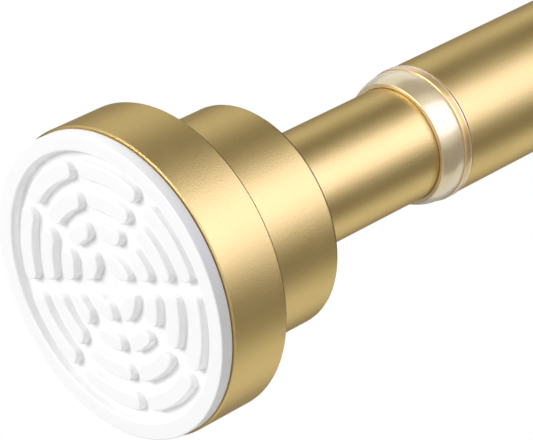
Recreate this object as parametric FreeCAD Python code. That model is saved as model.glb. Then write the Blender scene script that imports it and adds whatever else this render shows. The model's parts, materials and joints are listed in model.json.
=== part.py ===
import FreeCAD, Part
import math
import os

# Spring tension rod: two telescopic tubes with a stepped end cap and a treaded pad at each end.
# Millimetres. +X runs along the rod from the fixed end to the sliding end, +Z is up, and the
# origin is the centre of the fixed end's pad face. The rod is shown slid together.

# Whole rod
closed_length = 400.0
tube_gap = 42.4
cap_to_lock = 5.0

# Fits between pieces, all measured on the radius or as a face gap
push_fit = 0.05
slide_fit = 0.05
key_fit = 0.1
running_gap = 0.3

# Tubes
outer_tube_radius = 12.7
outer_tube_wall = 0.8
inner_tube_radius = 10.75
inner_tube_wall = 0.8
rolled_groove_depth = 0.6
rolled_groove_width = 3.0

# End pads
pad_set_in = 0.45
pad_stand_out = 2.5
pad_plug_depth = 3.0
pad_edge_round = 0.4
pad_rim_width = 3.15
recess_depth = 1.8
rib_height = 1.5
rib_width = 3.2
rib_first_radius = 3.35
rib_rim_gap = 1.85
rib_gap = 2.2
rib_corner = 1.0
rib_draft = 0.15
ribs_in_ring = (4, 8, 8, 8)
gap_turn = 22.5

# End cap covers
cup_radius = 27.9
cup_length = 12.1
step_radius = 20.5
step_length = 19.8
cover_wall = 0.9
cover_rim_chamfer = 0.4
cover_edge_round = 0.6

# Hubs inside the covers
hub_face = 2.5
hub_skirt = 2.0
hub_web = 2.4
hub_socket_wall = 2.5
hub_rib_thickness = 1.6
hub_ribs = 8
hub_corner = 0.5

# Tube plugs, screws and washers
plug_flange = 1.5
plug_length = 20.0
plug_lead_in = 0.8
plug_flute_width = 2.6
plug_flute_depth = 1.2
plug_flutes = 6
screw_radius = 2.0
screw_length = 22.0
screw_head_radius = 4.2
screw_head_height = 2.4
screw_recess_width = 1.0
screw_recess_depth = 1.2
screw_head_sink = 0.2
washer_radius = 5.4
washer_thickness = 1.0
screw_end_room = 1.0

# Clear collar on the end of the outer tube
collar_sleeve_length = 15.0
collar_lip_radius = 12.85
collar_lip_length = 1.8
collar_groove_depth = 0.35
collar_groove_width = 0.3
collar_body_radius = 12.5
collar_body_length = 2.3
collar_nose_length = 2.2
collar_nose_radius = 11.1

# Twist lock: stem, end nut, cone nut and expander sleeve
stem_radius = 3.0
stem_tip = 1.0
end_nut_flats = 10.0
end_nut_length = 4.0
cone_rest_gap = 3.0
cone_length = 14.0
cone_large_radius = 10.3
cone_small_radius = 8.3
cone_travel = 3.0
cone_in_sleeve = 8.0
lug_width = 2.8
lug_radius = 11.3
lug_start = 2.0
lugs = 4
sleeve_length = 32.0
sleeve_finger_length = 22.0
sleeve_hollow_radius = 7.2
sleeve_end_wall = 6.0
sleeve_groove_depth = 0.4
sleeve_groove_width = 1.2
sleeve_grooves = 4
shoulder_radius = 7.0
shoulder_length = 3.0
shank_flats = 9.0

# Spring drive inside the inner tube
spring_travel = 18.0
end_play = 0.5
bush_flange_radius = 11.5
bush_flange = 2.0
bush_length = 12.0
stem_head_radius = 8.6
stem_head_length = 3.0
guide_rod_radius = 5.0
guide_rod_length = 26.0
spring_length = 60.0
spring_radius = 7.2
spring_wire = 1.8
spring_turns = 13.0
stop_nose_length = 8.0
stop_length = 12.0

# Places along the rod, worked out from the sizes above
axis = FreeCAD.Vector(1, 0, 0)
centre = FreeCAD.Vector(0, 0, 0)

pad_radius = cup_radius - pad_set_in
recess_radius = pad_radius - pad_rim_width
last_rib_radius = recess_radius - rib_rim_gap - rib_width
rib_pitch = (last_rib_radius - rib_first_radius) / (len(ribs_in_ring) - 1)

cup_back = pad_stand_out + cup_length
cap_back = cup_back + step_length
pad_back = pad_stand_out + pad_plug_depth
pocket_depth = screw_head_sink + screw_head_height + washer_thickness
pocket_floor = pad_back + pocket_depth
socket_floor = pocket_floor + hub_web
tube_start = socket_floor + plug_flange
plug_end = tube_start + plug_length
screw_seat = pocket_floor - washer_thickness
screw_end = screw_seat + screw_length

outer_bore = outer_tube_radius - outer_tube_wall
inner_bore = inner_tube_radius - inner_tube_wall
outer_tube_end = closed_length - cap_back - tube_gap
inner_tube_end = closed_length - tube_start

stem_start = plug_end + cap_to_lock
end_nut_start = stem_start + stem_tip
cone_start = end_nut_start + end_nut_length + cone_rest_gap
cone_end = cone_start + cone_length
sleeve_start = cone_end - cone_in_sleeve
sleeve_end = sleeve_start + sleeve_length
shoulder_start = sleeve_end + running_gap
shoulder_end = shoulder_start + shoulder_length
bush_start = shoulder_end + spring_travel + end_play
inner_tube_start = bush_start + bush_flange
bush_end = inner_tube_start + bush_length
stem_head_start = bush_end + running_gap
spring_start = stem_head_start + stem_head_length
spring_end = spring_start + spring_length
stop_end = spring_end + stop_length
groove_middle = (spring_end + stop_end) / 2


# Turn a section round the rod's axis. Each corner is (x, radius) or (x, radius, corner radius).
def turned(*corners):
    edges = []
    places = [FreeCAD.Vector(corner[0], corner[1], 0) for corner in corners]
    leave = None
    first_arrive = None
    for i, corner in enumerate(corners):
        place = places[i]
        arrive = place
        depart = place
        corner_radius = corner[2] if len(corner) > 2 else 0
        if corner_radius:
            to_last = (places[i - 1] - place).normalize()
            to_next = (places[(i + 1) % len(places)] - place).normalize()
            half = to_last.getAngle(to_next) / 2
            arrive = place + to_last * (corner_radius / math.tan(half))
            depart = place + to_next * (corner_radius / math.tan(half))
            middle = place + (to_last + to_next).normalize() * (corner_radius / math.sin(half))
            crown = middle + (place - middle).normalize() * corner_radius
        if leave is not None:
            edges.append(Part.LineSegment(leave, arrive).toShape())
        else:
            first_arrive = arrive
        if corner_radius:
            edges.append(Part.Arc(arrive, crown, depart).toShape())
        leave = depart
    edges.append(Part.LineSegment(leave, first_arrive).toShape())
    return Part.Face(Part.Wire(edges)).revolve(centre, axis, 360)


# A rod along X with flat sides, for hexagon heads, shanks and sockets
def hexagon(start, end, flats):
    reach = flats / math.sqrt(3)
    turns = [math.radians(60 * side) for side in range(7)]
    ring = [FreeCAD.Vector(start, reach * math.cos(turn), reach * math.sin(turn)) for turn in turns]
    return Part.Face(Part.makePolygon(ring)).extrude(FreeCAD.Vector(end - start, 0, 0))


# A plate in a plane through the rod's axis, from its (x, radius) corners
def plate(thickness, *corners):
    ring = [FreeCAD.Vector(x, radius, -thickness / 2) for x, radius in corners]
    return Part.Face(Part.makePolygon(ring + ring[:1])).extrude(FreeCAD.Vector(0, 0, thickness))


# Copies of a shape spread evenly round the rod's axis
def around(shape, count, first_turn=0.0):
    copies = []
    for i in range(count):
        copy = shape.copy()
        copy.rotate(centre, axis, first_turn + 360 / count * i)
        copies.append(copy)
    return copies


# Fuse shapes into one solid, without the seams that fusing leaves in flat and round faces
def joined(base, *others):
    return base.fuse(list(others)).removeSplitter()


# Raised arc ribs of one ring of the pad's tread, on the floor of its recess
def pad_ring(ring):
    count = ribs_in_ring[ring]
    inside = rib_first_radius + ring * rib_pitch
    outside = inside + rib_width
    floor = recess_depth
    top = recess_depth - rib_height
    band = turned(
        (floor, inside - rib_draft), (top, inside), (top, outside), (floor, outside + rib_draft)
    )
    band.rotate(centre, axis, gap_turn)
    gap = plate(rib_gap, (0, 0), (0, pad_radius), (floor, pad_radius), (floor, 0))
    arcs = band.cut(around(gap, count, gap_turn))
    corners = [edge for edge in arcs.Edges if edge.BoundBox.XLength > rib_height / 2]
    return arcs.makeFillet(rib_corner, corners)


# Soft anti-slip pad: a plug that fills the cup, with a raised rim and arc ribs in its recess
def pad():
    cup_bore = cup_radius - cover_wall
    body = turned(
        (0, 0),
        (0, pad_radius, pad_edge_round),
        (pad_stand_out, pad_radius),
        (pad_stand_out, cup_bore - push_fit),
        (pad_back, cup_bore - push_fit),
        (pad_back, 0),
    )
    recess = turned(
        (0, 0), (0, recess_radius), (recess_depth, recess_radius - rib_draft), (recess_depth, 0)
    )
    rings = [pad_ring(ring) for ring in range(len(ribs_in_ring))]
    return joined(body.cut(recess), *rings)


# Stepped cover, a thin drawn shell: the cup round the pad and the smaller step round the tube
def cap_cover(tube_radius):
    cup_bore = cup_radius - cover_wall
    step_bore = step_radius - cover_wall
    tube_hole = tube_radius + running_gap / 2
    return turned(
        (pad_stand_out, cup_bore),
        (pad_stand_out, cup_radius - cover_rim_chamfer),
        (pad_stand_out + cover_rim_chamfer, cup_radius),
        (cup_back, cup_radius, cover_edge_round),
        (cup_back, step_radius),
        (cap_back, step_radius, cover_edge_round),
        (cap_back, tube_hole),
        (cap_back - cover_wall, tube_hole),
        (cap_back - cover_wall, step_bore),
        (cup_back - cover_wall, step_bore),
        (cup_back - cover_wall, cup_bore),
    )


# Moulded hub that fills the cover: face disc, skirt, tube socket and ribs, with a screw pocket
def hub(tube_radius):
    rim = cup_radius - cover_wall - push_fit
    step_rim = step_radius - cover_wall - push_fit
    pocket = washer_radius + 2 * running_gap
    socket = tube_radius + push_fit
    socket_rim = socket + hub_socket_wall
    skirt_end = cup_back - cover_wall - push_fit
    socket_end = cap_back - cover_wall - push_fit
    face_back = pad_back + hub_face
    body = turned(
        (pocket_floor, screw_radius + key_fit),
        (pocket_floor, pocket),
        (pad_back, pocket),
        (pad_back, rim),
        (skirt_end, rim, hub_corner),
        (skirt_end, rim - hub_skirt),
        (face_back, rim - hub_skirt, hub_corner),
        (face_back, socket_rim, hub_corner),
        (socket_end, socket_rim),
        (socket_end, socket),
        (socket_floor, socket),
        (socket_floor, screw_radius + key_fit),
    )
    rib = plate(
        hub_rib_thickness,
        (pad_back + hub_face / 2, socket + hub_socket_wall / 2),
        (pad_back + hub_face / 2, rim - hub_skirt / 2),
        (skirt_end - hub_corner, rim - hub_skirt / 2),
        (skirt_end - hub_corner, step_rim),
        (socket_end, step_rim),
        (socket_end, socket + hub_socket_wall / 2),
    )
    return joined(body, *around(rib, hub_ribs))


# Plug pressed into the tube's end, fluted outside, with a hole for the cap screw
def tube_plug(tube_radius, tube_wall):
    barrel = tube_radius - tube_wall - push_fit
    hole = screw_radius + push_fit
    body = turned(
        (socket_floor, hole),
        (socket_floor, tube_radius),
        (tube_start, tube_radius),
        (tube_start, barrel),
        (plug_end - plug_lead_in, barrel),
        (plug_end, barrel - plug_lead_in),
        (plug_end, 0),
        (screw_end + screw_end_room, 0),
        (screw_end + screw_end_room, hole),
    )
    flute = plate(
        plug_flute_width,
        (tube_start, barrel - plug_flute_depth),
        (tube_start, tube_radius),
        (plug_end, tube_radius),
        (plug_end, barrel - plug_flute_depth),
    )
    return body.cut(around(flute, plug_flutes))


# Pan head screw that holds the hub on the tube's plug, with a cross recess
def cap_screw():
    head_top = screw_seat - screw_head_height
    point = 2 * screw_radius
    body = turned(
        (head_top, 0),
        (head_top, screw_head_radius, screw_head_height / 2),
        (screw_seat, screw_head_radius),
        (screw_seat, screw_radius),
        (screw_end - point, screw_radius),
        (screw_end, 0),
    )
    reach = screw_head_radius / 2
    blade = plate(
        screw_recess_width,
        (head_top, -reach),
        (head_top, reach),
        (head_top + screw_recess_depth, reach),
        (head_top + screw_recess_depth, -reach),
    )
    return body.cut([blade, around(blade, 4)[1]])


def screw_washer():
    hole = screw_radius + key_fit
    return turned(
        (screw_seat, hole),
        (screw_seat, washer_radius),
        (pocket_floor, washer_radius),
        (pocket_floor, hole),
    )


def outer_tube():
    return turned(
        (tube_start, outer_bore),
        (tube_start, outer_tube_radius),
        (outer_tube_end, outer_tube_radius),
        (outer_tube_end, outer_bore),
    )


# Inner tube, with a groove rolled into it that holds the spring stop
def inner_tube():
    near = groove_middle - rolled_groove_width / 2
    far = groove_middle + rolled_groove_width / 2
    outside = inner_tube_radius
    bend = rolled_groove_width / 4
    slope = rolled_groove_width / 3
    return turned(
        (inner_tube_start, inner_bore),
        (inner_tube_start, outside),
        (near - slope, outside, bend),
        (groove_middle, outside - rolled_groove_depth, bend),
        (far + slope, outside, bend),
        (inner_tube_end, outside),
        (inner_tube_end, inner_bore),
        (far + slope, inner_bore, bend),
        (groove_middle, inner_bore - rolled_groove_depth, bend),
        (near - slope, inner_bore, bend),
    )


# Clear collar: a sleeve between the tubes, a lip on the outer tube's end and a rounded nose
def collar():
    bore = inner_tube_radius + slide_fit
    lip_end = outer_tube_end + collar_lip_length
    groove_end = lip_end + collar_groove_width
    body_end = groove_end + collar_body_length
    nose_end = body_end + collar_nose_length
    groove_radius = collar_body_radius - collar_groove_depth
    return turned(
        (outer_tube_end - collar_sleeve_length, bore),
        (outer_tube_end - collar_sleeve_length, outer_bore - push_fit),
        (outer_tube_end, outer_bore - push_fit),
        (outer_tube_end, collar_lip_radius),
        (lip_end, collar_lip_radius),
        (lip_end, groove_radius),
        (groove_end, groove_radius),
        (groove_end, collar_body_radius),
        (body_end, collar_body_radius, collar_nose_length / 2),
        (nose_end, collar_nose_radius),
        (nose_end, bore),
    )


# Expander sleeve: slotted fingers over a tapered bore, and an end wall on the stem
def expander_sleeve():
    rim = outer_bore - slide_fit
    taper = (cone_large_radius - cone_small_radius) / cone_length
    room = taper * cone_travel + key_fit
    mouth = cone_small_radius + taper * cone_in_sleeve + room
    throat_at = cone_end + cone_travel + running_gap
    throat = cone_small_radius - taper * (cone_travel + running_gap) + room
    inner_wall = sleeve_end - sleeve_end_wall
    hole = stem_radius + key_fit
    body = turned(
        (sleeve_start, mouth),
        (sleeve_start, rim),
        (sleeve_end, rim),
        (sleeve_end, hole),
        (inner_wall, hole),
        (inner_wall, sleeve_hollow_radius),
        (throat_at, sleeve_hollow_radius),
        (throat_at, throat),
    )
    slot_end = sleeve_start + sleeve_finger_length
    slot = plate(
        lug_width + 2 * key_fit,
        (sleeve_start - running_gap, 0),
        (sleeve_start - running_gap, outer_bore),
        (slot_end, outer_bore),
        (slot_end, 0),
    )
    grips = []
    for i in range(sleeve_grooves):
        near = sleeve_start + sleeve_finger_length * (i + 0.5) / sleeve_grooves
        grips.append(
            turned(
                (near, rim - sleeve_groove_depth),
                (near, outer_bore),
                (near + sleeve_groove_width, outer_bore),
                (near + sleeve_groove_width, rim - sleeve_groove_depth),
            )
        )
    return body.cut(around(slot, lugs) + grips)


# Cone nut: a tapered nut on the stem, kept from turning by lugs in the sleeve's slots
def cone_nut():
    hole = stem_radius + slide_fit
    body = turned(
        (cone_start, hole),
        (cone_start, cone_large_radius),
        (cone_end, cone_small_radius),
        (cone_end, hole),
    )
    lug = plate(
        lug_width,
        (cone_start + lug_start, cone_small_radius / 2),
        (cone_start + lug_start, lug_radius),
        (cone_end, lug_radius),
        (cone_end, cone_small_radius / 2),
    )
    return joined(body, *around(lug, lugs))


# Locking nut that ends the cone nut's travel
def end_nut():
    end = end_nut_start + end_nut_length
    hole = Part.makeCylinder(
        stem_radius + push_fit, end_nut_length, FreeCAD.Vector(end_nut_start, 0, 0), axis
    )
    return hexagon(end_nut_start, end, end_nut_flats).cut(hole)


# Stem: screw for the cone nut, shoulder for the sleeve, hexagon shank, spring head and guide rod
def lock_stem():
    guide_end = spring_start + guide_rod_length
    chamfer = stem_tip / 2
    screw = turned(
        (stem_start, 0),
        (stem_start, stem_radius - chamfer),
        (stem_start + chamfer, stem_radius),
        (shoulder_start, stem_radius),
        (shoulder_start, shoulder_radius),
        (shoulder_end, shoulder_radius),
        (shoulder_end, 0),
    )
    guide = turned(
        (stem_head_start, 0),
        (stem_head_start, stem_head_radius),
        (spring_start, stem_head_radius),
        (spring_start, guide_rod_radius),
        (guide_end - chamfer, guide_rod_radius),
        (guide_end, guide_rod_radius - chamfer),
        (guide_end, 0),
    )
    return joined(screw, hexagon(shoulder_end, stem_head_start, shank_flats), guide)


# Bush in the inner tube's end: its hexagon hole slides on the stem's shank but turns with it
def guide_bush():
    body = turned(
        (bush_start, 0),
        (bush_start, bush_flange_radius),
        (inner_tube_start, bush_flange_radius),
        (inner_tube_start, inner_bore - push_fit),
        (bush_end, inner_bore - push_fit),
        (bush_end, 0),
    )
    return body.cut(hexagon(bush_start, bush_end, shank_flats + 2 * key_fit))


# Compression spring with ends ground flat on its two seats
def spring():
    pitch = (spring_length + spring_wire) / spring_turns
    helix = Part.makeHelix(pitch, spring_length + spring_wire, spring_radius)
    along = FreeCAD.Rotation(FreeCAD.Vector(0, 0, 1), axis)
    helix.Placement = FreeCAD.Placement(FreeCAD.Vector(spring_start - spring_wire / 2, 0, 0), along)
    begin = helix.Edges[0].valueAt(helix.Edges[0].FirstParameter)
    heading = helix.Edges[0].tangentAt(helix.Edges[0].FirstParameter)
    section = Part.Wire(Part.makeCircle(spring_wire / 2, begin, heading))
    coil = Part.Wire(helix.Edges).makePipeShell([section], True, True)
    seats = Part.makeCylinder(
        inner_bore, spring_length, FreeCAD.Vector(spring_start, 0, 0), axis
    )
    return coil.common(seats)


# Stop that the spring pushes on, held in the inner tube by the rolled groove
def spring_stop():
    rim = inner_bore - push_fit
    near = groove_middle - rolled_groove_width / 2
    far = groove_middle + rolled_groove_width / 2
    slope = rolled_groove_width / 3
    return turned(
        (spring_end - stop_nose_length, 0),
        (spring_end - stop_nose_length, guide_rod_radius, spring_wire / 2),
        (spring_end, guide_rod_radius),
        (spring_end, rim),
        (near - slope, rim),
        (groove_middle, rim - rolled_groove_depth),
        (far + slope, rim),
        (stop_end, rim),
        (stop_end, 0),
    )


# The sliding end is the fixed end turned to face the other way, on the inner tube
def sliding_end(shape):
    turned_round = shape.mirror(centre, axis)
    turned_round.translate(FreeCAD.Vector(closed_length, 0, 0))
    return turned_round


nodes = {
    "fixed_pad": pad(),
    "fixed_cap_cover": cap_cover(outer_tube_radius),
    "fixed_hub": hub(outer_tube_radius),
    "fixed_tube_plug": tube_plug(outer_tube_radius, outer_tube_wall),
    "fixed_cap_screw": cap_screw(),
    "fixed_screw_washer": screw_washer(),
    "sliding_pad": sliding_end(pad()),
    "sliding_cap_cover": sliding_end(cap_cover(inner_tube_radius)),
    "sliding_hub": sliding_end(hub(inner_tube_radius)),
    "sliding_tube_plug": sliding_end(tube_plug(inner_tube_radius, inner_tube_wall)),
    "sliding_cap_screw": sliding_end(cap_screw()),
    "sliding_screw_washer": sliding_end(screw_washer()),
    "outer_tube": outer_tube(),
    "inner_tube": inner_tube(),
    "clear_collar": collar(),
    "expander_sleeve": expander_sleeve(),
    "cone_nut": cone_nut(),
    "end_nut": end_nut(),
    "lock_stem": lock_stem(),
    "guide_bush": guide_bush(),
    "tension_spring": spring(),
    "spring_stop": spring_stop(),
}

os.makedirs("parts", exist_ok=True)
for name, shape in nodes.items():
    shape.exportStep(f"parts/{name}.step")
    print(name, "solids", len(shape.Solids), "valid", shape.isValid(), "volume", round(shape.Volume, 1))
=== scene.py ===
import json
import math
import bpy
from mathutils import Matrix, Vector


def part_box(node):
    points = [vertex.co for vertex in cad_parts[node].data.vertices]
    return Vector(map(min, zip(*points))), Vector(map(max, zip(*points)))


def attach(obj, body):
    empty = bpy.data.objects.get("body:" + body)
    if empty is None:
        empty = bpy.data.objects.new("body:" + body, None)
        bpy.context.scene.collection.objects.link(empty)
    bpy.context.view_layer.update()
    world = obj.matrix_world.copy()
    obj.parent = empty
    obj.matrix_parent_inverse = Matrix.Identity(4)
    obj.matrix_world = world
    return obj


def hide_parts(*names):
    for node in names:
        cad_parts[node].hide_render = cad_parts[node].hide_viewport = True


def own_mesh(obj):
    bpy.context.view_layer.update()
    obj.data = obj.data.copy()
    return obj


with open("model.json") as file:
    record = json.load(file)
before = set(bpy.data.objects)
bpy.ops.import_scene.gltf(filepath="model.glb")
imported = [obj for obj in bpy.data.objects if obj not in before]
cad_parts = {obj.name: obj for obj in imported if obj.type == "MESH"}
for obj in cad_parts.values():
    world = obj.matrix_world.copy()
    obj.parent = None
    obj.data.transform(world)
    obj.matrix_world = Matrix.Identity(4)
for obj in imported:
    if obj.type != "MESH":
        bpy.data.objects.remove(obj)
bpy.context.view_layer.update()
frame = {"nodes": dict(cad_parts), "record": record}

mm = 0.001


# Where a solid lies along the rod, and how far out it reaches, in millimetres
def spanOf(node):
    low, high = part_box(node)
    return low.x / mm, high.x / mm, high.y / mm


rodLength = spanOf("sliding_pad")[1]
wholeTurn = 2 * math.pi
onPlace = 0.01  # in millimetres, how near a vertex lies to a place to count as on it
tinyGap = 0.001 * mm


# Camera, at the photograph's place by the sliding end
cameraSettings = {
    "fromPadFace": Vector((290.2, 328.65, 269.5)),
    "lookAlong": Vector((-0.60924, -0.61116, -0.5053)),
    "lens": 208.76,
    "sensorWidth": 36.0,
    "clipStart": 0.01,
}


def addCamera():
    place = Vector((rodLength, 0, 0)) + cameraSettings["fromPadFace"]
    bpy.ops.object.camera_add(location=place * mm)
    camera = bpy.context.object
    camera.name = "photoCamera"
    camera.rotation_euler = cameraSettings["lookAlong"].to_track_quat("-Z", "Y").to_euler()
    camera.data.lens = cameraSettings["lens"]
    camera.data.sensor_width = cameraSettings["sensorWidth"]
    camera.data.clip_start = cameraSettings["clipStart"]
    bpy.context.scene.camera = camera


addCamera()
print("camera set")


# Small helpers for modelling by hand
def deselectAll():
    if bpy.context.object and bpy.context.object.mode == "EDIT":
        bpy.ops.object.mode_set(mode="OBJECT")
    bpy.ops.object.select_all(action="DESELECT")


def pickOnly(piece):
    deselectAll()
    piece.select_set(True)
    bpy.context.view_layer.objects.active = piece


def applyPlace(piece):
    pickOnly(piece)
    bpy.ops.object.transform_apply(location=True, rotation=True, scale=True)


def applyModifiers(piece):
    pickOnly(piece)
    for name in [modifier.name for modifier in piece.modifiers]:
        bpy.ops.object.modifier_apply(modifier=name)


def fixNormals(piece):
    pickOnly(piece)
    bpy.ops.object.mode_set(mode="EDIT")
    bpy.ops.mesh.select_all(action="SELECT")
    bpy.ops.mesh.remove_doubles(threshold=tinyGap)
    bpy.ops.mesh.normals_make_consistent(inside=False)
    bpy.ops.object.mode_set(mode="OBJECT")


def smoothFaces(piece, angle):
    pickOnly(piece)
    bpy.ops.object.shade_smooth_by_angle(angle=math.radians(angle))
    piece.modifiers.new("evenShading", "WEIGHTED_NORMAL").keep_sharp = True
    applyModifiers(piece)


# Select the vertices that a test on their place in millimetres picks, or what lies between them
def selectBy(piece, test, kind="VERT"):
    pickOnly(piece)
    bpy.ops.object.mode_set(mode="EDIT")
    bpy.ops.mesh.select_mode(type="VERT")
    bpy.ops.mesh.select_all(action="DESELECT")
    bpy.ops.object.mode_set(mode="OBJECT")
    for vertex in piece.data.vertices:
        vertex.select = test(*(vertex.co / mm))
    bpy.ops.object.mode_set(mode="EDIT")
    bpy.ops.mesh.select_mode(type=kind)


# A piece turned about the rod: a circle is drawn out ring by ring through (x, radius) places. A
# hollow piece is bridged back to its first ring, and a solid one keeps the circle's face.
def turnPiece(name, rings, sides, hollow=True):
    x, radius = rings[0]
    deselectAll()
    bpy.ops.mesh.primitive_circle_add(
        vertices=sides,
        radius=radius * mm,
        fill_type="NOTHING" if hollow else "NGON",
        location=(x * mm, 0, 0),
        rotation=(0, math.radians(90), 0),
    )
    piece = bpy.context.object
    piece.name = name
    applyPlace(piece)
    bpy.ops.object.mode_set(mode="EDIT")
    bpy.ops.mesh.select_mode(type="VERT")
    bpy.ops.mesh.select_all(action="SELECT")
    for nextX, nextRadius in rings[1:]:
        bpy.ops.mesh.extrude_region_move(
            TRANSFORM_OT_translate={"value": ((nextX - x) * mm, 0, 0)}
        )
        growth = nextRadius / radius
        bpy.ops.transform.resize(value=(1, growth, growth), center_override=(nextX * mm, 0, 0))
        x, radius = nextX, nextRadius
    if hollow:
        bpy.ops.object.mode_set(mode="OBJECT")
        for vertex in piece.data.vertices[:sides]:
            vertex.select = True
        bpy.ops.object.mode_set(mode="EDIT")
        bpy.ops.mesh.select_mode(type="EDGE")
        bpy.ops.mesh.bridge_edge_loops()
    bpy.ops.object.mode_set(mode="OBJECT")
    fixNormals(piece)
    return piece


# Round the edge that runs round the rod at each (x, radius), by its own width
def roundRings(piece, corners, segments):
    for ringX, ringRadius, width in corners:
        selectBy(
            piece,
            lambda x, y, z: math.hypot(x - ringX, math.hypot(y, z) - ringRadius) < onPlace,
            kind="EDGE",
        )
        bpy.ops.mesh.bevel(offset=width * mm, segments=segments, affect="EDGES", clamp_overlap=True)
        bpy.ops.object.mode_set(mode="OBJECT")


# Finishes. A finish's noise is laid in the piece's own space.
def newFinish(name):
    finish = bpy.data.materials.new(name)
    finish.use_nodes = True
    nodes = finish.node_tree.nodes
    links = finish.node_tree.links
    place = nodes.new("ShaderNodeTexCoord")
    return finish, nodes, links, nodes["Principled BSDF"], place


def addNoise(nodes, links, place, scale, detail, roughness=0.5):
    noise = nodes.new("ShaderNodeTexNoise")
    noise.inputs["Scale"].default_value = scale
    noise.inputs["Detail"].default_value = detail
    noise.inputs["Roughness"].default_value = roughness
    links.new(place.outputs["Object"], noise.inputs["Vector"])
    return noise.outputs["Fac"]


# Spread a source from low to high. Noise mostly lies between 0.3 and 0.7.
def addSpread(nodes, links, source, low, high, start=0.3, end=0.7):
    spread = nodes.new("ShaderNodeMapRange")
    spread.inputs["From Min"].default_value = start
    spread.inputs["From Max"].default_value = end
    spread.inputs["To Min"].default_value = low
    spread.inputs["To Max"].default_value = high
    links.new(source, spread.inputs["Value"])
    return spread.outputs["Result"]


def addTint(nodes, links, factor, first, second):
    tint = nodes.new("ShaderNodeMix")
    tint.data_type = "RGBA"
    colours = [socket for socket in tint.inputs if socket.type == "RGBA"]
    colours[0].default_value = first
    colours[1].default_value = second
    links.new(factor, tint.inputs["Factor"])
    return [socket for socket in tint.outputs if socket.type == "RGBA"][0]


def addBump(nodes, links, shader, height, strength, depth):
    bump = nodes.new("ShaderNodeBump")
    bump.inputs["Strength"].default_value = strength
    bump.inputs["Distance"].default_value = depth
    links.new(height, bump.inputs["Height"])
    links.new(bump.outputs["Normal"], shader.inputs["Normal"])


goldSettings = {
    "lightGold": (0.61, 0.458, 0.19, 1),
    "deepGold": (0.58, 0.43, 0.173, 1),
    "roughness": (0.28, 0.34),
    "edgeTint": (1.0, 0.92, 0.72, 1),
    "cloudScale": 60,
    "cloudDetail": 3,
    "grainScale": 4000,
    "grainDetail": 2,
    "grainContrast": 0.7,
    "grainStrength": 1.0,
    "grainDepth": 0.045 * mm,
}


def satinGold():
    s = goldSettings
    finish, nodes, links, shader, place = newFinish("satinGold")
    cloud = addNoise(nodes, links, place, s["cloudScale"], s["cloudDetail"])
    grain = addNoise(
        nodes, links, place, s["grainScale"], s["grainDetail"], s["grainContrast"]
    )
    colour = addTint(nodes, links, grain, s["deepGold"], s["lightGold"])
    links.new(colour, shader.inputs["Base Color"])
    links.new(addSpread(nodes, links, cloud, *s["roughness"]), shader.inputs["Roughness"])
    shader.inputs["Metallic"].default_value = 1
    shader.inputs["Specular Tint"].default_value = s["edgeTint"]
    addBump(nodes, links, shader, grain, s["grainStrength"], s["grainDepth"])
    return finish


siliconeSettings = {
    "white": (0.955, 0.955, 0.955, 1),
    "shade": (0.94, 0.94, 0.945, 1),
    "roughness": 0.45,
    "softLight": 0.1,
    "softReach": 1.0 * mm,
    "speckScale": 2600,
    "speckDetail": 2,
    "cloudScale": 45,
    "cloudDetail": 3,
    "strength": 0.05,
    "depth": 0.03 * mm,
}


def whiteSilicone():
    s = siliconeSettings
    finish, nodes, links, shader, place = newFinish("whiteSilicone")
    cloud = addNoise(nodes, links, place, s["cloudScale"], s["cloudDetail"])
    speck = addNoise(nodes, links, place, s["speckScale"], s["speckDetail"])
    colour = addTint(nodes, links, cloud, s["white"], s["shade"])
    links.new(colour, shader.inputs["Base Color"])
    shader.inputs["Roughness"].default_value = s["roughness"]
    shader.inputs["Subsurface Weight"].default_value = s["softLight"]
    shader.inputs["Subsurface Radius"].default_value = (1, 1, 1)
    shader.inputs["Subsurface Scale"].default_value = s["softReach"]
    addBump(nodes, links, shader, speck, s["strength"], s["depth"])
    return finish


# Clear plastic: a part-metal shader gives it a pale gleam, and its base colour paints in what the gold
# under it would show: a painted white highlight at the lip's edge, a painted amber reflection of the
# outer tube's end in the lip, and a tan body that paints in the gold seen through it. Each shade
# stands at its distance from the outer tube's end, in millimetres.
clearSettings = {
    # Painted light along the collar: white highlight, amber reflection of the tube's end, then the
    # gold seen through the body
    "paintedGleams": (
        (0.0, (1.0, 0.97, 0.90, 1)),
        (0.35, (1.0, 0.97, 0.90, 1)),
        (0.6, (0.78, 0.45, 0.07, 1)),
        (1.1, (0.78, 0.45, 0.07, 1)),
        (2.0, (0.84, 0.695, 0.42, 1)),
        (4.0, (0.84, 0.695, 0.42, 1)),
    ),
    "milk": 0.7,
    "milkHaze": 0.5,
    "mirrorShare": 0.6,
    "clearShare": 0.35,
    "haze": 0.28,
    "index": 1.2,
    "coatHaze": 0.12,
    "coatIndex": 1.5,
    "flowScale": 220,
    "flowDetail": 2,
    "strength": 0.03,
    "depth": 0.05 * mm,
}


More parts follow.
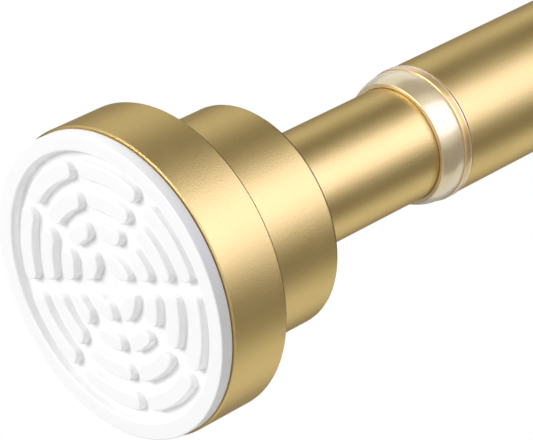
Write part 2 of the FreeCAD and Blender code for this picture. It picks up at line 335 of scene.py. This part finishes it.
def clearPlastic():
    s = clearSettings
    finish, nodes, links, shader, place = newFinish("clearPlastic")
    flow = addNoise(nodes, links, place, s["flowScale"], s["flowDetail"])
    tubeEnd = spanOf("outer_tube")[1]
    split = nodes.new("ShaderNodeSeparateXYZ")
    links.new(place.outputs["Object"], split.inputs["Vector"])
    reach = s["paintedGleams"][-1][0]
    along = addSpread(
        nodes, links, split.outputs["X"], 0, 1, tubeEnd * mm, (tubeEnd + reach) * mm
    )
    # Painted highlight and painted reflection: the base colour runs along the rod from the outer
    # tube's end
    paintedGleamRamp = nodes.new("ShaderNodeValToRGB")
    links.new(along, paintedGleamRamp.inputs["Fac"])
    stops = paintedGleamRamp.color_ramp.elements
    for fromEnd, _ in s["paintedGleams"][1:-1]:
        stops.new(fromEnd / reach)
    for stop, (_, shade) in zip(stops, s["paintedGleams"]):
        stop.color = shade
    links.new(paintedGleamRamp.outputs["Color"], shader.inputs["Base Color"])
    shader.inputs["Metallic"].default_value = s["mirrorShare"]
    shader.inputs["Sheen Weight"].default_value = s["milk"]
    shader.inputs["Sheen Roughness"].default_value = s["milkHaze"]
    shader.inputs["Roughness"].default_value = s["haze"]
    shader.inputs["Coat Weight"].default_value = 1
    shader.inputs["Coat Roughness"].default_value = s["coatHaze"]
    shader.inputs["Coat IOR"].default_value = s["coatIndex"]
    shader.inputs["IOR"].default_value = s["index"]
    shader.inputs["Transmission Weight"].default_value = s["clearShare"]
    addBump(nodes, links, shader, flow, s["strength"], s["depth"])
    return finish


plainSettings = {
    "whiteMoulding": {"first": (0.70, 0.70, 0.67, 1), "second": (0.64, 0.64, 0.61, 1), "metal": 0},
    "greyMoulding": {"first": (0.11, 0.115, 0.12, 1), "second": (0.08, 0.085, 0.09, 1), "metal": 0},
    "zincSteel": {"first": (0.60, 0.61, 0.63, 1), "second": (0.50, 0.51, 0.54, 1), "metal": 1},
    "springSteel": {"first": (0.30, 0.31, 0.33, 1), "second": (0.22, 0.23, 0.25, 1), "metal": 1},
    "roughness": (0.28, 0.45),
    "cloudScale": 110,
    "cloudDetail": 4,
    "grainScale": 3200,
    "grainDetail": 2,
    "strength": 0.12,
    "depth": 0.02 * mm,
}


def plainFinish(name):
    s = plainSettings
    finish, nodes, links, shader, place = newFinish(name)
    cloud = addNoise(nodes, links, place, s["cloudScale"], s["cloudDetail"])
    grain = addNoise(nodes, links, place, s["grainScale"], s["grainDetail"])
    colour = addTint(nodes, links, cloud, s[name]["first"], s[name]["second"])
    links.new(colour, shader.inputs["Base Color"])
    links.new(addSpread(nodes, links, cloud, *s["roughness"]), shader.inputs["Roughness"])
    shader.inputs["Metallic"].default_value = s[name]["metal"]
    addBump(nodes, links, shader, grain, s["strength"], s["depth"])
    return finish


finishes = {
    "gold_cover": satinGold(),
    "white_silicone": whiteSilicone(),
    "clear_plastic": clearPlastic(),
    "white_moulding": plainFinish("whiteMoulding"),
    "grey_moulding": plainFinish("greyMoulding"),
    "zinc_steel": plainFinish("zincSteel"),
    "spring_steel": plainFinish("springSteel"),
}
finishes["gold_tube"] = finishes["gold_cover"]


def giveFinish(piece, slot):
    piece.data.materials.clear()
    piece.data.materials.append(finishes[slot])


for row in frame["record"]["subparts"]:
    giveFinish(frame["nodes"][row["node"]], row["material_slot"])
print("finishes made")


# A new piece takes its finish, its node's place and its body
def seatPiece(piece, slot, body, node):
    giveFinish(piece, slot)
    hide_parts(node)
    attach(piece, body)


# The sliding end's piece is the fixed end's, turned to face the other way
def facingCopy(piece, name):
    pickOnly(piece)
    bpy.ops.object.duplicate()
    copy = bpy.context.object
    copy.name = name
    copy.scale = (-1, 1, 1)
    copy.location = (rodLength * mm, 0, 0)
    applyPlace(copy)
    fixNormals(copy)
    return copy


# Pads: a turned body with soft arc ribs in its recess, in millimetres from the pad's face
padSettings = {
    "radius": spanOf("fixed_pad")[2],
    "plugRadius": 26.95,
    "standOut": 2.42,
    "back": spanOf("fixed_pad")[1],
    "rimWidth": 3.15,
    "recessDepth": 1.8,
    "recessDraft": 0.15,
    "rimRound": 0.3,
    "backRound": 0.25,
    "recessRound": 0.35,
    "ribHeight": 1.5,
    "ribWidth": 3.2,
    "ribDraft": 0.1,
    "ribGap": 2.2,
    "ribCorner": 1.45,
    "cornerShare": 0.8,
    "ribTopRound": 0.4,
    "ribFootRound": 0.15,
    "ribFlat": 0.05,
    "firstRing": 3.35,
    "ringPitch": 5.3,
    "ribsInRing": (4, 8, 8, 8),
    "gapTurn": 22.5,
    "ribStep": 0.6,
    "roundSteps": 4,
    "cornerSteps": 7,
    "edgeSteps": 4,
    "sides": 256,
    "smoothAngle": 50,
}


def padBody():
    s = padSettings
    recess = s["radius"] - s["rimWidth"]
    floorRadius = recess - s["recessDraft"]
    body = turnPiece(
        "padBody",
        [
            (s["back"], s["plugRadius"]),
            (s["standOut"], s["plugRadius"]),
            (s["standOut"], s["radius"]),
            (0, s["radius"]),
            (0, recess),
            (s["recessDepth"], floorRadius),
        ],
        sides=s["sides"],
        hollow=False,
    )
    corners = [
        (s["standOut"], s["radius"], s["backRound"]),
        (0, s["radius"], s["rimRound"]),
        (0, recess, s["recessRound"]),
        (s["recessDepth"], floorRadius, s["recessRound"]),
        (s["back"], s["plugRadius"], s["backRound"]),
    ]
    roundRings(body, corners, s["edgeSteps"])
    return body


# A quarter round of the rib's section, as (inset, rise) steps
def quarterRound(radius, hollow):
    count = padSettings["roundSteps"]
    turns = [math.pi / 2 * i / count for i in range(count + 1)]
    steps = []
    for last, turn in zip(turns, turns[1:]):
        along = radius * (math.sin(turn) - math.sin(last))
        across = radius * (math.cos(last) - math.cos(turn))
        steps.append((along, across) if hollow else (across, along))
    return steps


# One rib: a flat bar is bent round the rod, then raised through its foot, wall and rounded top
def padRib(ring):
    s = padSettings
    count = s["ribsInRing"][ring]
    middle = s["firstRing"] + ring * s["ringPitch"] + s["ribWidth"] / 2
    spare = s["ribDraft"] + s["ribFootRound"]
    halfWidth = s["ribWidth"] / 2 + spare
    halfGap = s["ribGap"] / 2 - spare
    shortHalf, longHalf = [
        middle * (math.pi / count - math.asin(halfGap / (middle + side * halfWidth)))
        for side in (-1, 1)
    ]
    deselectAll()
    bpy.ops.mesh.primitive_plane_add(size=1, rotation=(0, math.radians(-90), 0))
    rib = bpy.context.object
    rib.name = f"padRing{ring + 1}"
    rib.scale = (2 * shortHalf * mm, 2 * halfWidth * mm, 1)
    applyPlace(rib)
    selectBy(rib, lambda x, y, z: y > 0)
    bpy.ops.transform.resize(value=(1, 1, longHalf / shortHalf), center_override=(0, 0, 0))
    for side, half in ((-1, shortHalf), (1, longHalf)):
        bentHalf = half * (middle + side * halfWidth) / middle
        corner = min(s["ribCorner"] + spare, s["cornerShare"] * bentHalf)
        stretch = 1 + side * (halfWidth - corner / 2) / middle  # rounded at its bent length
        bpy.ops.mesh.select_all(action="SELECT")
        bpy.ops.transform.resize(value=(1, 1, stretch), center_override=(0, 0, 0))
        selectBy(rib, lambda x, y, z: abs(y - side * halfWidth) < onPlace)
        bpy.ops.mesh.bevel(offset=corner * mm, segments=s["cornerSteps"], affect="VERTICES")
        bpy.ops.mesh.select_all(action="SELECT")
        bpy.ops.transform.resize(value=(1, 1, 1 / stretch), center_override=(0, 0, 0))
    selectBy(rib, lambda x, y, z: abs(abs(y) - halfWidth) < onPlace, kind="EDGE")
    bpy.ops.mesh.subdivide(number_cuts=math.ceil(2 * shortHalf / s["ribStep"]))
    bpy.ops.mesh.select_mode(type="FACE")
    bpy.ops.mesh.select_all(action="SELECT")
    bpy.ops.mesh.dissolve_faces()
    bpy.ops.object.mode_set(mode="OBJECT")
    bend = rib.modifiers.new("roundTheRod", "SIMPLE_DEFORM")
    bend.deform_method = "BEND"
    bend.deform_axis = "X"
    bend.angle = -2 * longHalf / middle
    applyModifiers(rib)
    rib.location = (s["recessDepth"] * mm, middle * mm, 0)
    applyPlace(rib)
    rib.rotation_euler = (math.radians(s["gapTurn"]) + math.pi / count, 0, 0)
    applyPlace(rib)
    bpy.ops.object.mode_set(mode="EDIT")
    bpy.ops.mesh.select_all(action="SELECT")
    wallHeight = s["ribHeight"] - s["ribTopRound"] - s["ribFootRound"]
    steps = quarterRound(s["ribFootRound"], hollow=True)
    steps += [(s["ribDraft"], wallHeight)]
    steps += quarterRound(s["ribTopRound"], hollow=False)
    steps += [(s["ribFlat"], 0)]
    for inset, rise in steps:
        bpy.ops.mesh.inset(thickness=inset * mm, depth=rise * mm)
    bpy.ops.mesh.select_all(action="SELECT")
    bpy.ops.mesh.spin(
        steps=count - 1,
        angle=wholeTurn * (count - 1) / count,
        center=(0, 0, 0),
        axis=(1, 0, 0),
        dupli=True,
    )
    bpy.ops.object.mode_set(mode="OBJECT")
    return rib


# The recess's floor is taken out and filled again round the feet of the ribs
def makePads():
    s = padSettings
    pad = padBody()
    selectBy(pad, lambda x, y, z: abs(x - s["recessDepth"]) < onPlace, kind="FACE")
    bpy.ops.mesh.delete(type="ONLY_FACE")
    bpy.ops.object.mode_set(mode="OBJECT")
    rings = [padRib(ring) for ring in range(len(s["ribsInRing"]))]
    pickOnly(pad)
    for ring in rings:
        ring.select_set(True)
    bpy.ops.object.join()
    bpy.ops.object.mode_set(mode="EDIT")
    bpy.ops.mesh.select_mode(type="EDGE")
    bpy.ops.mesh.select_all(action="DESELECT")
    bpy.ops.mesh.select_non_manifold()
    bpy.ops.mesh.fill(use_beauty=True)
    bpy.ops.object.mode_set(mode="OBJECT")
    fixNormals(pad)
    smoothFaces(pad, s["smoothAngle"])
    pad.name = "fixedPadShape"
    farPad = facingCopy(pad, "slidingPadShape")
    smoothFaces(farPad, s["smoothAngle"])
    seatPiece(pad, "white_silicone", "outer", "fixed_pad")
    seatPiece(farPad, "white_silicone", "inner", "sliding_pad")


makePads()
print("pads made")


# Covers: a drawn shell with a cup, a step and a hole for the tube
coverSettings = {
    "cupLength": 12.1,
    "stepRadius": 20.5,
    "wall": 0.9,
    "rimChamfer": 0.22,
    "edgeRound": 0.6,
    "stepRound": 0.85,
    "innerRound": 0.4,
    "holeRoom": 0.15,
    "edgeSteps": 6,
    "sides": 288,
    "smoothAngle": 30,
}


def makeCover(name, tubeRadius):
    s = coverSettings
    front, back, cup = spanOf("fixed_cap_cover")
    cupBack = front + s["cupLength"]
    hole = tubeRadius + s["holeRoom"]
    cover = turnPiece(
        name,
        [
            (front, cup - s["wall"]),
            (front, cup - s["rimChamfer"]),
            (front + s["rimChamfer"], cup),
            (cupBack, cup),
            (cupBack, s["stepRadius"]),
            (back, s["stepRadius"]),
            (back, hole),
            (back - s["wall"], hole),
            (back - s["wall"], s["stepRadius"] - s["wall"]),
            (cupBack - s["wall"], s["stepRadius"] - s["wall"]),
            (cupBack - s["wall"], cup - s["wall"]),
        ],
        sides=s["sides"],
    )
    outside = [(cupBack, cup, s["edgeRound"]), (back, s["stepRadius"], s["stepRound"])]
    inside = [
        (back - s["wall"], s["stepRadius"] - s["wall"], s["innerRound"]),
        (cupBack - s["wall"], cup - s["wall"], s["innerRound"]),
    ]
    roundRings(cover, outside + inside, s["edgeSteps"])
    smoothFaces(cover, s["smoothAngle"])
    return cover


def makeCovers():
    fixedCover = makeCover("fixedCoverShape", spanOf("outer_tube")[2])
    seatPiece(fixedCover, "gold_cover", "outer", "fixed_cap_cover")
    cover = makeCover("coverPattern", spanOf("inner_tube")[2])
    slidingCover = facingCopy(cover, "slidingCoverShape")
    bpy.data.objects.remove(cover)
    smoothFaces(slidingCover, coverSettings["smoothAngle"])
    seatPiece(slidingCover, "gold_cover", "inner", "sliding_cap_cover")


makeCovers()
print("covers made")


# Tubes: the outer one ends a fine gap before the collar's lip, and a groove is rolled into the inner
# one over the spring's stop
tubeSettings = {
    "wall": 0.8,
    "endRound": 0.2,
    "endRoom": 0.15,
    "grooveDepth": 0.6,
    "grooveHalf": 2.5,
    "grooveFromStop": 6.0,
    "grooveSteps": 10,
    "edgeSteps": 4,
    "sides": 256,
    "smoothAngle": 30,
}


def makeOuterTube():
    s = tubeSettings
    start, end, radius = spanOf("outer_tube")
    end -= s["endRoom"]
    bore = radius - s["wall"]
    tube = turnPiece(
        "outerTubeShape",
        [(start, bore), (start, radius), (end, radius), (end, bore)],
        sides=s["sides"],
    )
    corners = [(start, radius, s["endRound"]), (end, radius, s["endRound"])]
    roundRings(tube, corners, s["edgeSteps"])
    smoothFaces(tube, s["smoothAngle"])
    seatPiece(tube, "gold_tube", "outer", "outer_tube")


def makeInnerTube():
    s = tubeSettings
    start, end, radius = spanOf("inner_tube")
    stopEnd = spanOf("spring_stop")[1]
    middle = stopEnd - s["grooveFromStop"]
    dip = []
    for i in range(s["grooveSteps"] + 1):
        share = i / s["grooveSteps"]
        sink = s["grooveDepth"] * (1 - math.cos(wholeTurn * share)) / 2
        dip.append((middle + s["grooveHalf"] * (2 * share - 1), radius - sink))
    bore = [(x, r - s["wall"]) for x, r in reversed(dip)]
    tube = turnPiece(
        "innerTubeShape",
        [(start, radius - s["wall"]), (start, radius)]
        + dip
        + [(end, radius), (end, radius - s["wall"])]
        + bore,
        sides=s["sides"],
    )
    smoothFaces(tube, s["smoothAngle"])
    seatPiece(tube, "gold_tube", "inner", "inner_tube")


makeOuterTube()
makeInnerTube()
print("tubes made")


# Clear collar: a sleeve between the tubes, a lip on the outer tube's end and a rounded nose
collarSettings = {
    "boreRoom": 0.05,
    "sleeveRoom": 0.05,
    "lipRoom": 0.1,
    "lipLength": 1.8,
    "lipRound": 0.25,
    "grooveDepth": 0.06,
    "grooveWidth": 0.3,
    "bodyRadius": 12.5,
    "noseLength": 2.2,
    "noseRadius": 11.6,
    "noseRound": 1.1,
    "edgeRound": 0.12,
    "edgeSteps": 6,
    "sides": 320,
    "smoothAngle": 40,
}


def makeCollar():
    s = collarSettings
    start, end, lip = spanOf("clear_collar")
    tubeEnd, tubeRadius = spanOf("outer_tube")[1:]
    bore = spanOf("inner_tube")[2] + s["boreRoom"]
    sleeve = tubeRadius - tubeSettings["wall"] - s["sleeveRoom"]
    lipStart = tubeEnd + s["lipRoom"]
    lipEnd = tubeEnd + s["lipLength"]
    grooveEnd = lipEnd + s["grooveWidth"]
    bodyEnd = end - s["noseLength"]
    groove = s["bodyRadius"] - s["grooveDepth"]
    collar = turnPiece(
        "collarShape",
        [
            (start, bore),
            (start, sleeve),
            (lipStart, sleeve),
            (lipStart, lip),
            (lipEnd, lip),
            (lipEnd, groove),
            (grooveEnd, groove),
            (grooveEnd, s["bodyRadius"]),
            (bodyEnd, s["bodyRadius"]),
            (end, s["noseRadius"]),
            (end, bore),
        ],
        sides=s["sides"],
    )
    corners = [
        (lipStart, lip, s["lipRound"]),
        (lipEnd, lip, s["lipRound"]),
        (grooveEnd, s["bodyRadius"], s["edgeRound"]),
        (bodyEnd, s["bodyRadius"], s["noseRound"]),
        (end, s["noseRadius"], s["edgeRound"]),
        (end, bore, s["edgeRound"]),
    ]
    roundRings(collar, corners, s["edgeSteps"])
    fixNormals(collar)
    smoothFaces(collar, s["smoothAngle"])
    seatPiece(collar, "clear_plastic", "outer", "clear_collar")


makeCollar()
print("collar made")


# Spring: a ring of wire is drawn along the rod in turns, and its ends are ground flat
springSettings = {
    "meanRadius": 7.2,
    "wire": 1.8,
    "turns": 13,
    "wireSides": 16,
    "stepsInTurn": 48,
    "keptLength": 0.7,
    "smoothAngle": 40,
}


def makeSpring():
    s = springSettings
    start, end = spanOf("tension_spring")[:2]
    deselectAll()
    bpy.ops.mesh.primitive_circle_add(
        vertices=s["wireSides"],
        radius=s["wire"] / 2 * mm,
        location=((start - s["wire"] / 2) * mm, s["meanRadius"] * mm, 0),
    )
    spring = bpy.context.object
    spring.name = "springShape"
    applyPlace(spring)
    coil = spring.modifiers.new("coil", "SCREW")
    coil.axis = "X"
    coil.angle = wholeTurn
    coil.screw_offset = (end - start + s["wire"]) / s["turns"] * mm
    coil.iterations = s["turns"]
    coil.steps = s["stepsInTurn"]
    coil.render_steps = s["stepsInTurn"]
    applyModifiers(spring)
    for place, outwards in ((start, -1), (end, 1)):
        bpy.ops.object.mode_set(mode="EDIT")
        bpy.ops.mesh.select_all(action="SELECT")
        bpy.ops.mesh.bisect(
            plane_co=(place * mm, 0, 0),
            plane_no=(outwards, 0, 0),
            use_fill=True,
            clear_outer=True,
            threshold=tinyGap,
        )
        bpy.ops.object.mode_set(mode="OBJECT")
    fixNormals(spring)
    smoothFaces(spring, s["smoothAngle"])
    seatPiece(spring, "spring_steel", "stem", "tension_spring")
    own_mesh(spring)


makeSpring()
print("spring made")


# Studio: a white room, a long softbox and cards that draw the gold's light and dark bands, a softbox
# before each pad and one above the near pad. A turn is a place round the rod: 0 at +Y, 90 straight up.
studioSettings = {
    "roomLevel": 0.40,
    "backdropLevel": 0.92,
    "floorDrop": 1100,
    "floorSize": 12.0,
    "floorShade": (0.9, 0.9, 0.9, 1),
    "floorRoughness": 0.9,
    "bandLength": 3.0,
    "bandMiddle": -0.2,
    "bandDistance": 0.8,
    "softboxTurn": 44,
    "softboxSpan": 53,
    "softboxPower": 18.0,
    "softboxTint": (0.60, 0.61, 0.97),
    "cardLevel": 0.33,
    "cardTint": (1.0, 0.94, 0.86, 1),
    "cards": ((109, 40), (-21, 46), (222, 104)),
    "farCardPlace": -1.4,
    "farCardSize": 2.2,
    "farCardLevel": 0.04,
    "endPlace": (1.3, -0.55, 0.75),
    "endSize": 0.9,
    "endPower": 19.6,
    "topTurn": 60,
    "topSize": 0.4,
    "topPower": 0.9,
}


def rayKinds(nodes, links):
    path = nodes.new("ShaderNodeLightPath")
    total = None
    for kind in ("Is Camera Ray", "Is Glossy Ray", "Is Transmission Ray"):
        if total is None:
            total = path.outputs[kind]
            continue
        either = nodes.new("ShaderNodeMath")
        either.operation = "MAXIMUM"
        links.new(total, either.inputs[0])
        links.new(path.outputs[kind], either.inputs[1])
        total = either.outputs[0]
    return path, total


def addRoom():
    s = studioSettings
    world = bpy.data.worlds.new("whiteRoom")
    bpy.context.scene.world = world
    world.use_nodes = True
    nodes = world.node_tree.nodes
    links = world.node_tree.links
    path, seen = rayKinds(nodes, links)
    level = nodes.new("ShaderNodeMapRange")
    level.inputs["To Min"].default_value = s["roomLevel"]
    level.inputs["To Max"].default_value = s["backdropLevel"]
    links.new(seen, level.inputs["Value"])
    whole = nodes.new("ShaderNodeMath")
    whole.operation = "MAXIMUM"
    links.new(level.outputs["Result"], whole.inputs[0])
    links.new(path.outputs["Is Camera Ray"], whole.inputs[1])
    background = nodes["Background"]
    background.inputs["Color"].default_value = (1, 1, 1, 1)
    links.new(whole.outputs[0], background.inputs["Strength"])


def addFloor():
    s = studioSettings
    deselectAll()
    bpy.ops.mesh.primitive_plane_add(size=s["floorSize"], location=(0, 0, -s["floorDrop"] * mm))
    floor = bpy.context.object
    floor.name = "floor"
    applyPlace(floor)
    finish = bpy.data.materials.new("paleFloor")
    finish.use_nodes = True
    nodes = finish.node_tree.nodes
    links = finish.node_tree.links
    matt = nodes["Principled BSDF"]
    matt.inputs["Base Color"].default_value = s["floorShade"]
    matt.inputs["Roughness"].default_value = s["floorRoughness"]
    glow = nodes.new("ShaderNodeEmission")
    seen = rayKinds(nodes, links)[1]
    blend = nodes.new("ShaderNodeMixShader")
    links.new(seen, blend.inputs[0])
    links.new(matt.outputs[0], blend.inputs[1])
    links.new(glow.outputs[0], blend.inputs[2])
    links.new(blend.outputs[0], nodes["Material Output"].inputs["Surface"])
    floor.data.materials.append(finish)


# Place round the rod at a turn, and the turn that makes a flat panel face the rod from there
def bandPlace(turn):
    s = studioSettings
    across = Vector((0, math.cos(math.radians(turn)), math.sin(math.radians(turn))))
    place = Vector((s["bandMiddle"], 0, 0)) + across * s["bandDistance"]
    return place, (math.radians(turn - 90), 0, 0)


def bandWidth(span):
    return 2 * studioSettings["bandDistance"] * math.tan(math.radians(span / 2))


def addSoftbox(name, place, facing, size, power):
    bpy.ops.object.light_add(type="AREA", location=place, rotation=facing)
    softbox = bpy.context.object
    softbox.name = name
    softbox.data.shape = "RECTANGLE"
    softbox.data.size, softbox.data.size_y = size
    softbox.data.energy = power
    softbox.visible_camera = False
    return softbox


def addSoftboxes():
    s = studioSettings
    place, facing = bandPlace(s["softboxTurn"])
    size = (s["bandLength"], bandWidth(s["softboxSpan"]))
    longBox = addSoftbox("longSoftbox", place, facing, size, s["softboxPower"])
    longBox.data.color = s["softboxTint"]
    longBox.visible_diffuse = False
    for name, padX, side in (("frontSoftbox", rodLength * mm, 1), ("backSoftbox", 0, -1)):
        fromPad = Vector(s["endPlace"]) * Vector((side, 1, 1))
        facing = fromPad.to_track_quat("Z", "Y").to_euler()
        place = fromPad + Vector((padX, 0, 0))
        endBox = addSoftbox(name, place, facing, (s["endSize"], s["endSize"]), s["endPower"])
        endBox.visible_glossy = side == 1
    place, facing = bandPlace(s["topTurn"])
    place.x = rodLength * mm
    topBox = addSoftbox("topSoftbox", place, facing, (s["topSize"], s["topSize"]), s["topPower"])
    topBox.visible_glossy = False


def addCard(name, width, length, place, facing, level):
    deselectAll()
    bpy.ops.mesh.primitive_plane_add(size=1, location=place, rotation=facing)
    card = bpy.context.object
    card.name = name
    card.scale = (length, width, 1)
    card.visible_camera = False
    card.visible_diffuse = False
    card.visible_transmission = False
    card.visible_shadow = False
    finish = bpy.data.materials.new(name)
    finish.use_nodes = True
    glow = finish.node_tree.nodes.new("ShaderNodeEmission")
    glow.inputs["Color"].default_value = studioSettings["cardTint"]
    glow.inputs["Strength"].default_value = level
    output = finish.node_tree.nodes["Material Output"]
    finish.node_tree.links.new(glow.outputs[0], output.inputs["Surface"])
    card.data.materials.append(finish)


addRoom()
addFloor()
addSoftboxes()
for turn, span in studioSettings["cards"]:
    cardPlace, cardFacing = bandPlace(turn)
    addCard(
        f"bandCard{turn % 360}",
        bandWidth(span),
        studioSettings["bandLength"],
        cardPlace,
        cardFacing,
        studioSettings["cardLevel"],
    )
addCard(
    "farCard",
    studioSettings["farCardSize"],
    studioSettings["farCardSize"],
    (studioSettings["farCardPlace"], 0, 0),
    (0, math.radians(90), 0),
    studioSettings["farCardLevel"],
)
bpy.context.scene.view_settings.view_transform = "Standard"
print("studio set")
